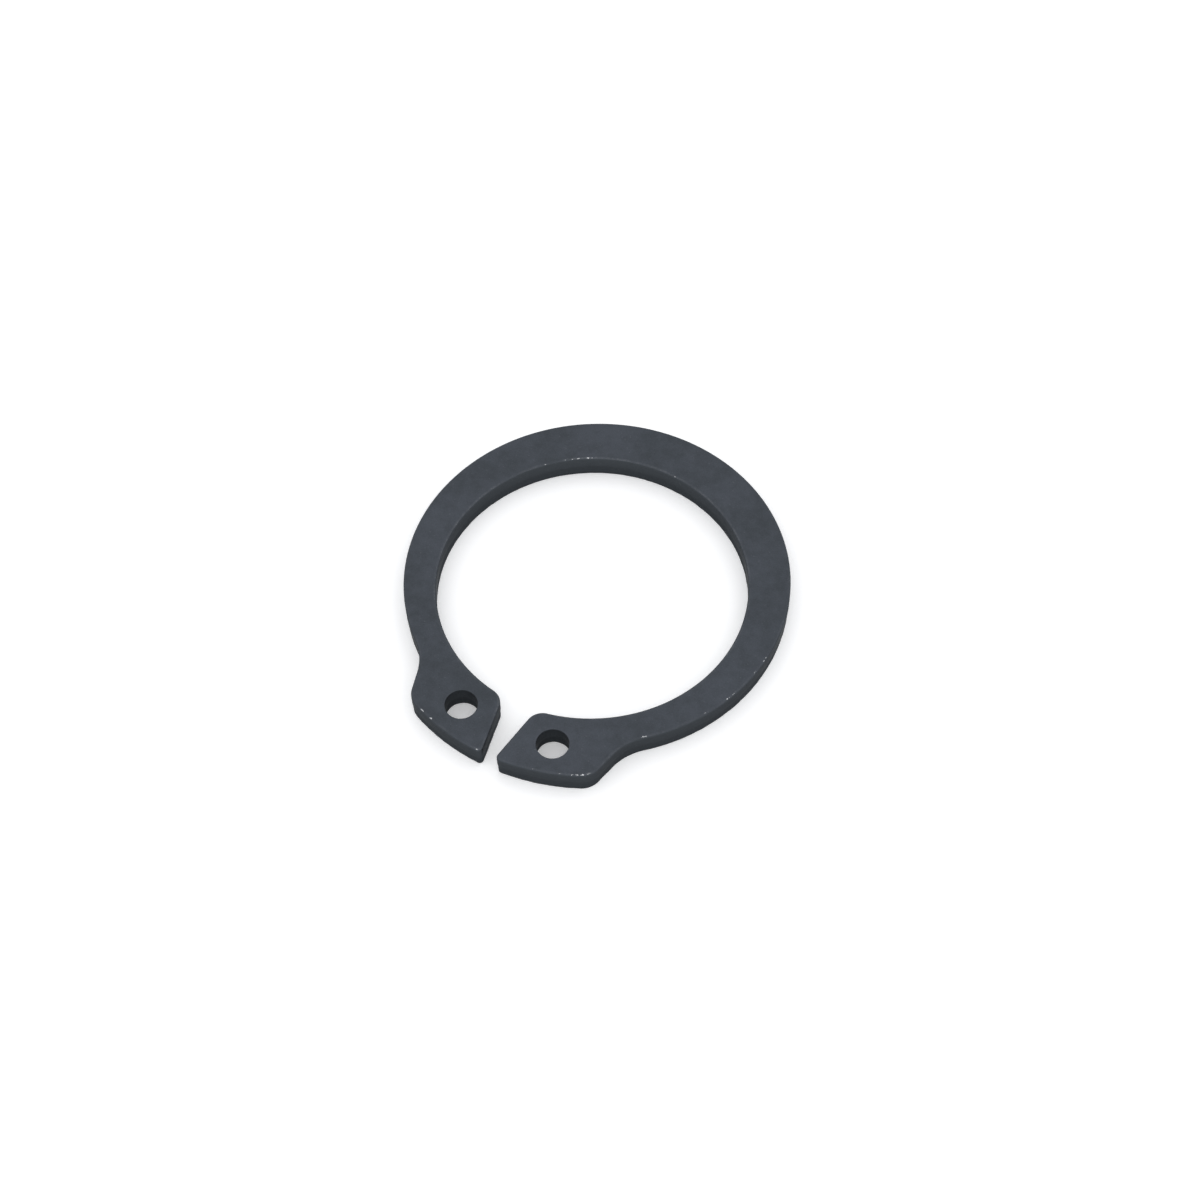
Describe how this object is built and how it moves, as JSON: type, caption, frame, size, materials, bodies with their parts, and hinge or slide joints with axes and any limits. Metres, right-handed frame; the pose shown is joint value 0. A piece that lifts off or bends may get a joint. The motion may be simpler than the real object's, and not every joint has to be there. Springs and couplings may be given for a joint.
{
  "type": "external retaining ring",
  "caption": "Flat stamped spring steel ring, open at one side, with a lug and a round pliers hole at each end of the gap.",
  "frame": {"origin": "on the shaft's axis, in the plane that the ring lies on", "axes": "+Z along the shaft's axis, up through the ring; -Y toward the gap and the lugs"},
  "size_m": [0.0144, 0.0158, 0.001],
  "materials": {
    "blackened_spring_steel": "black phosphate and oil over stamped and tumbled spring steel, worn bright on the upper edges"
  },
  "bodies": {
    "root": {"retaining_ring": "blackened_spring_steel"}
  },
  "joints": []
}
